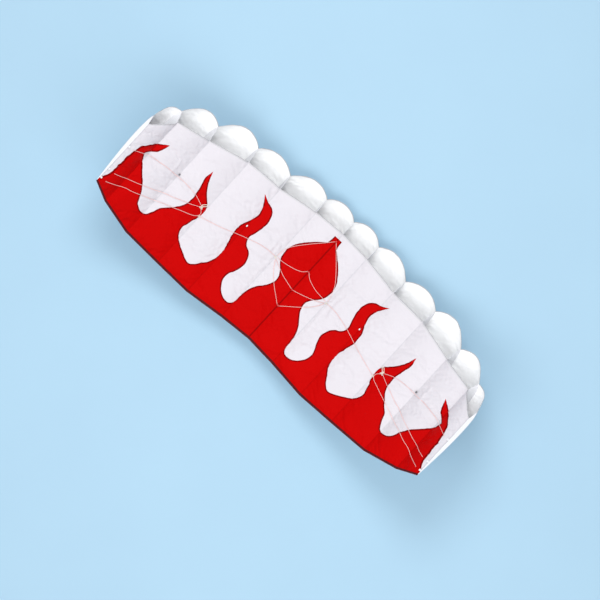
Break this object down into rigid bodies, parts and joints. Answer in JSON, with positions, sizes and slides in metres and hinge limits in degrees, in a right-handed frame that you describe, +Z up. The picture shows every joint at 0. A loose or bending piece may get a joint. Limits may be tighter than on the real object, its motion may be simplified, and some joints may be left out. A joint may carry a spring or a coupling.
{
  "type": "two-line parafoil kite",
  "caption": "Frameless two-line parafoil kite lying on its back: an arched wing of open-nosed cloth cells, flame-patterned underneath, with a slack bridle.",
  "frame": {"origin": "middle of the wing's box, on the ground that the kite lies on", "axes": "+X along the span to the right, +Y towards the open leading edge, +Z up, out of the underside and the bridle"},
  "size_m": [1.8, 0.712, 0.4439],
  "materials": {
    "under_cloth": "white ripstop nylon with red flames sewn in",
    "upper_cloth": "white ripstop nylon",
    "rib_cloth": "white ripstop nylon, single layer",
    "hem_tape": "dark folded binding",
    "bridle_line": "pale braided polyester line",
    "tow_line": "off-white braided line, knotted"
  },
  "bodies": {
    "center": {"center_rib": "rib_cloth", "trailing_hem_center": "hem_tape", "left_upper_panel_1": "upper_cloth", "left_under_panel_1": "under_cloth", "left_line_fan_front": "bridle_line", "left_line_fan_second": "bridle_line", "left_line_fan_third": "bridle_line", "left_line_fan_rear": "bridle_line", "right_upper_panel_1": "upper_cloth", "right_under_panel_1": "under_cloth", "right_line_fan_front": "bridle_line", "right_line_fan_second": "bridle_line", "right_line_fan_third": "bridle_line", "right_line_fan_rear": "bridle_line"},
    "left_inner": {"left_rib_1": "rib_cloth", "left_rib_2": "rib_cloth", "left_upper_panel_2": "upper_cloth", "left_upper_panel_3": "upper_cloth", "left_under_panel_2": "under_cloth", "left_under_panel_3": "under_cloth", "left_trailing_hem_inner": "hem_tape", "left_line_lead": "bridle_line"},
    "left_outer": {"left_rib_3": "rib_cloth", "left_rib_4": "rib_cloth", "left_rib_5": "rib_cloth", "left_rib_6": "rib_cloth", "left_upper_panel_4": "upper_cloth", "left_upper_panel_5": "upper_cloth", "left_upper_panel_6": "upper_cloth", "left_under_panel_4": "under_cloth", "left_under_panel_5": "under_cloth", "left_under_panel_6": "under_cloth", "left_trailing_hem_outer": "hem_tape", "left_line_tip_rear": "bridle_line", "left_line_tip_middle": "bridle_line", "left_line_tip_front": "bridle_line"},
    "left_tow_loop": {"left_tow_loop": "tow_line"},
    "right_inner": {"right_rib_1": "rib_cloth", "right_rib_2": "rib_cloth", "right_upper_panel_2": "upper_cloth", "right_upper_panel_3": "upper_cloth", "right_under_panel_2": "under_cloth", "right_under_panel_3": "under_cloth", "right_trailing_hem_inner": "hem_tape", "right_line_lead": "bridle_line"},
    "right_outer": {"right_rib_3": "rib_cloth", "right_rib_4": "rib_cloth", "right_rib_5": "rib_cloth", "right_rib_6": "rib_cloth", "right_upper_panel_4": "upper_cloth", "right_upper_panel_5": "upper_cloth", "right_upper_panel_6": "upper_cloth", "right_under_panel_4": "under_cloth", "right_under_panel_5": "under_cloth", "right_under_panel_6": "under_cloth", "right_trailing_hem_outer": "hem_tape", "right_line_tip_rear": "bridle_line", "right_line_tip_middle": "bridle_line", "right_line_tip_front": "bridle_line"},
    "right_tow_loop": {"right_tow_loop": "tow_line"}
  },
  "joints": [
    {"name": "right_inner_fold", "type": "hinge", "parent": "center", "child": "right_inner", "pos_m": [0.14213, 0, 0.10113], "axis": [0, -1, 0], "range_deg": [0, 30], "stiffness_Nm_per_rad": 0.6},
    {"name": "left_inner_fold", "type": "hinge", "parent": "center", "child": "left_inner", "pos_m": [-0.14213, 0, 0.10113], "axis": [0, 1, 0], "range_deg": [0, 30], "stiffness_Nm_per_rad": 0.6},
    {"name": "right_outer_fold", "type": "hinge", "parent": "right_inner", "child": "right_outer", "pos_m": [0.48707, 0, 0.16794], "axis": [0, -1, 0], "range_deg": [0, 35], "stiffness_Nm_per_rad": 0.4},
    {"name": "left_outer_fold", "type": "hinge", "parent": "left_inner", "child": "left_outer", "pos_m": [-0.48707, 0, 0.16794], "axis": [0, 1, 0], "range_deg": [0, 35], "stiffness_Nm_per_rad": 0.4},
    {"name": "right_tow_loop_lift", "type": "hinge", "parent": "right_outer", "child": "right_tow_loop", "pos_m": [0.51, -0.05203, 0.18442], "axis": [0.6323, 0.7314, 0.2555], "range_deg": [0, 100]},
    {"name": "left_tow_loop_lift", "type": "hinge", "parent": "left_outer", "child": "left_tow_loop", "pos_m": [-0.51, -0.05203, 0.18442], "axis": [0.6323, -0.7314, -0.2555], "range_deg": [0, 100]}
  ]
}
